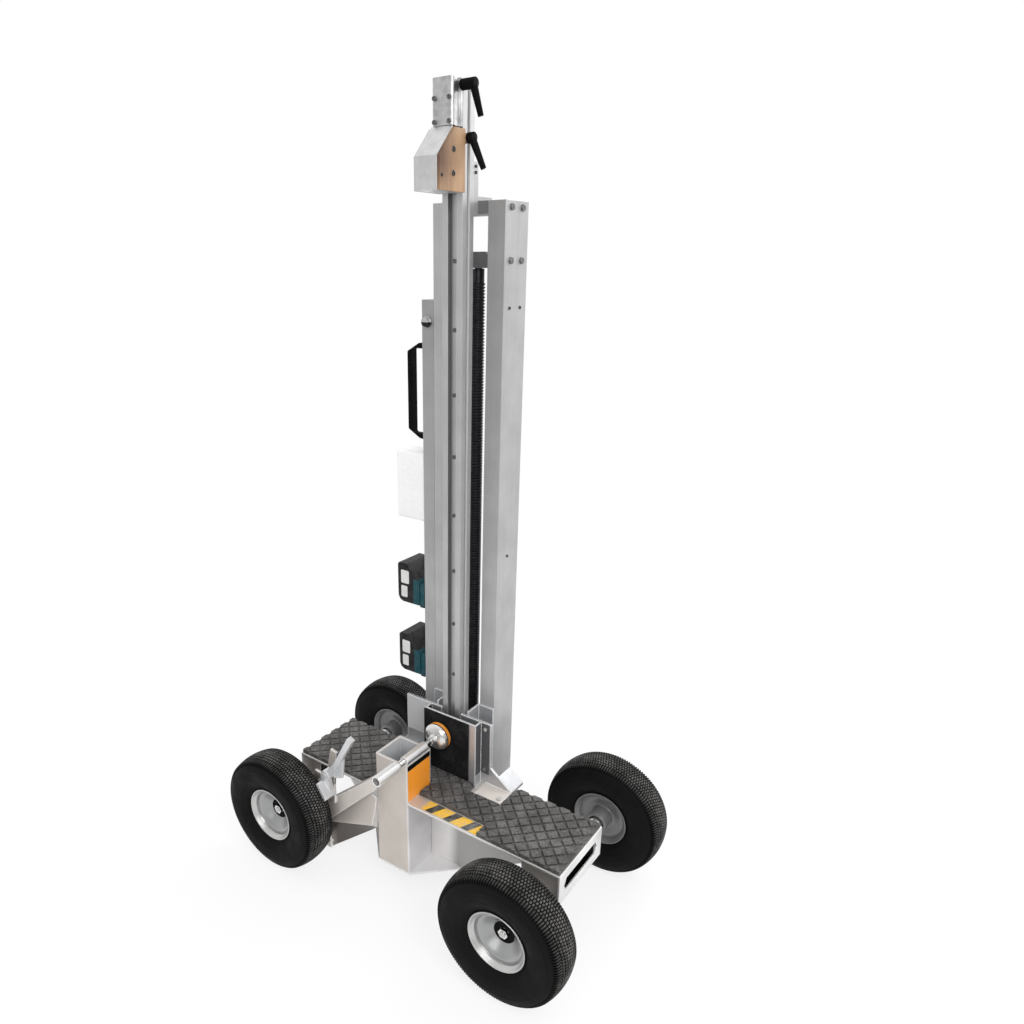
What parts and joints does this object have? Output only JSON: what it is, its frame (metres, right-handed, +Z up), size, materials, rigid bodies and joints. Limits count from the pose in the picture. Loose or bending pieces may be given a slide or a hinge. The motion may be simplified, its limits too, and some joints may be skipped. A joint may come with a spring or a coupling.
{
  "type": "electric panel stacker",
  "caption": "Battery-driven panel lift on pneumatic tyres: narrow studded deck, twin-column mast with a lead-screw slide, hook head and screw-clamp post.",
  "frame": {"origin": "on the floor at the centre of the four wheels", "axes": "+X along the deck, +Y from the front post to the mast, +Z up"},
  "size_m": [0.9, 0.526, 1.627],
  "materials": {
    "aluminium_sheet": "satin sheet and extrusion",
    "zinc_steel": "bright zinc",
    "chrome": "polished",
    "mat_rubber": "matte black",
    "tyre_rubber": "matte charcoal",
    "rim_paint": "silver grey",
    "dark_metal": "satin black",
    "bronze": "machined bronze",
    "tan_board": "tan resin board",
    "black_plastic": "moulded black",
    "white_plastic": "moulded white",
    "pack_plastic": "moulded teal and black",
    "orange_pad": "orange rubber"
  },
  "bodies": {
    "frame": {"deck_plate": "aluminium_sheet", "deck_mat": "mat_rubber", "keel_plate": "aluminium_sheet", "chassis_trough": "aluminium_sheet", "front_post": "aluminium_sheet", "axles": "zinc_steel", "axle_hangers": "dark_metal", "axle_nuts": "zinc_steel", "wheel_bearings": "dark_metal", "brake_arm": "aluminium_sheet", "brake_pin": "zinc_steel", "foot_bracket": "aluminium_sheet", "bracket_pad": "mat_rubber", "bracket_angles": "aluminium_sheet", "mast_base": "aluminium_sheet", "mast_column_left": "aluminium_sheet", "mast_column_right": "aluminium_sheet", "mast_top_tie": "aluminium_sheet", "upper_guide": "aluminium_sheet", "screw_crosshead": "aluminium_sheet", "screw_foot_plate": "aluminium_sheet", "screw_bearings": "zinc_steel", "lift_gearbox": "dark_metal", "lift_motor": "dark_metal", "clamp_sleeve": "aluminium_sheet", "side_cover": "aluminium_sheet", "bow_handle": "black_plastic", "control_box": "white_plastic", "battery_docks": "black_plastic", "frame_bolts": "zinc_steel"},
    "wheel_front_left": {"tyre_front_left": "tyre_rubber", "rim_front_left": "rim_paint"},
    "wheel_front_right": {"tyre_front_right": "tyre_rubber", "rim_front_right": "rim_paint"},
    "wheel_back_left": {"tyre_back_left": "tyre_rubber", "rim_back_left": "rim_paint"},
    "wheel_back_right": {"tyre_back_right": "tyre_rubber", "rim_back_right": "rim_paint"},
    "slide": {"lift_slide": "aluminium_sheet", "slide_screws": "zinc_steel", "nut_arm": "aluminium_sheet", "lead_nut": "bronze", "head_block": "aluminium_sheet"},
    "screw": {"lead_screw": "zinc_steel", "screw_coupling": "aluminium_sheet"},
    "hook": {"hook_block": "tan_board", "hook_cover": "aluminium_sheet", "hook_cheeks": "tan_board"},
    "lever_upper": {"clamp_lever_upper": "black_plastic"},
    "lever_lower": {"clamp_lever_lower": "black_plastic"},
    "clamp_foot": {"swivel_foot": "chrome", "foot_pad": "orange_pad"},
    "clamp_spindle": {"clamp_screw": "chrome", "clamp_handle": "chrome"},
    "brake": {"brake_lever": "zinc_steel"},
    "pack_upper": {"battery_pack_upper": "pack_plastic"},
    "pack_lower": {"battery_pack_lower": "pack_plastic"},
    "latch_upper": {"battery_latch_upper": "black_plastic"},
    "latch_lower": {"battery_latch_lower": "black_plastic"},
    "switch": {"lift_switch": "black_plastic"}
  },
  "joints": [
    {"name": "spin_front_left", "type": "hinge", "parent": "frame", "child": "wheel_front_left", "pos_m": [-0.31, -0.219, 0.14], "axis": [0, 1, 0], "continuous": true},
    {"name": "spin_front_right", "type": "hinge", "parent": "frame", "child": "wheel_front_right", "pos_m": [0.31, -0.219, 0.14], "axis": [0, 1, 0], "continuous": true},
    {"name": "spin_back_left", "type": "hinge", "parent": "frame", "child": "wheel_back_left", "pos_m": [-0.31, 0.219, 0.14], "axis": [0, 1, 0], "continuous": true},
    {"name": "spin_back_right", "type": "hinge", "parent": "frame", "child": "wheel_back_right", "pos_m": [0.31, 0.219, 0.14], "axis": [0, 1, 0], "continuous": true},
    {"name": "lift", "type": "slide", "parent": "frame", "child": "slide", "axis": [0, 0, 1], "range_m": [0, 0.95]},
    {"name": "screw_turn", "type": "hinge", "parent": "frame", "child": "screw", "pos_m": [0, 0.121, 0.8], "axis": [0, 0, 1], "range_deg": [-17101, 0.5]},
    {"name": "hook_slide", "type": "slide", "parent": "slide", "child": "hook", "axis": [0, 0, 1], "range_m": [-0.5, 0]},
    {"name": "lever_upper_turn", "type": "hinge", "parent": "slide", "child": "lever_upper", "pos_m": [0.03, 0.0286, 1.616], "axis": [1, 0, 0], "range_deg": [-90, 60]},
    {"name": "lever_lower_turn", "type": "hinge", "parent": "hook", "child": "lever_lower", "pos_m": [0.034, 0.0418, 1.5367], "axis": [1, 0, 0], "range_deg": [-100, 30]},
    {"name": "clamp_advance", "type": "slide", "parent": "frame", "child": "clamp_foot", "axis": [0, 1, 0], "range_m": [-0.016, 0.005]},
    {"name": "clamp_turn", "type": "hinge", "parent": "clamp_foot", "child": "clamp_spindle", "pos_m": [-0.01, -0.1, 0.338], "axis": [0, 1, 0], "range_deg": [-1441, 451]},
    {"name": "brake_turn", "type": "hinge", "parent": "frame", "child": "brake", "pos_m": [-0.188, -0.178, 0.262], "axis": [0, 1, 0], "range_deg": [0, 12]},
    {"name": "pack_upper_slide", "type": "slide", "parent": "frame", "child": "pack_upper", "axis": [0, 0, 1], "range_m": [0, 0.045]},
    {"name": "pack_lower_slide", "type": "slide", "parent": "frame", "child": "pack_lower", "axis": [0, 0, 1], "range_m": [0, 0.045]},
    {"name": "latch_upper_press", "type": "slide", "parent": "pack_upper", "child": "latch_upper", "axis": [1, 0, 0], "range_m": [0, 0.004], "stiffness_N_per_m": 400},
    {"name": "latch_lower_press", "type": "slide", "parent": "pack_lower", "child": "latch_lower", "axis": [1, 0, 0], "range_m": [0, 0.004], "stiffness_N_per_m": 400},
    {"name": "switch_rock", "type": "hinge", "parent": "frame", "child": "switch", "pos_m": [-0.186, 0.12, 0.8755], "axis": [0, 1, 0], "range_deg": [-8, 8], "stiffness_Nm_per_rad": 0.3}
  ],
  "couplings": [
    {"joint": "screw_turn", "follows": "lift", "rad_per_m": -314.16},
    {"joint": "clamp_turn", "follows": "clamp_advance", "rad_per_m": 1570.8}
  ]
}
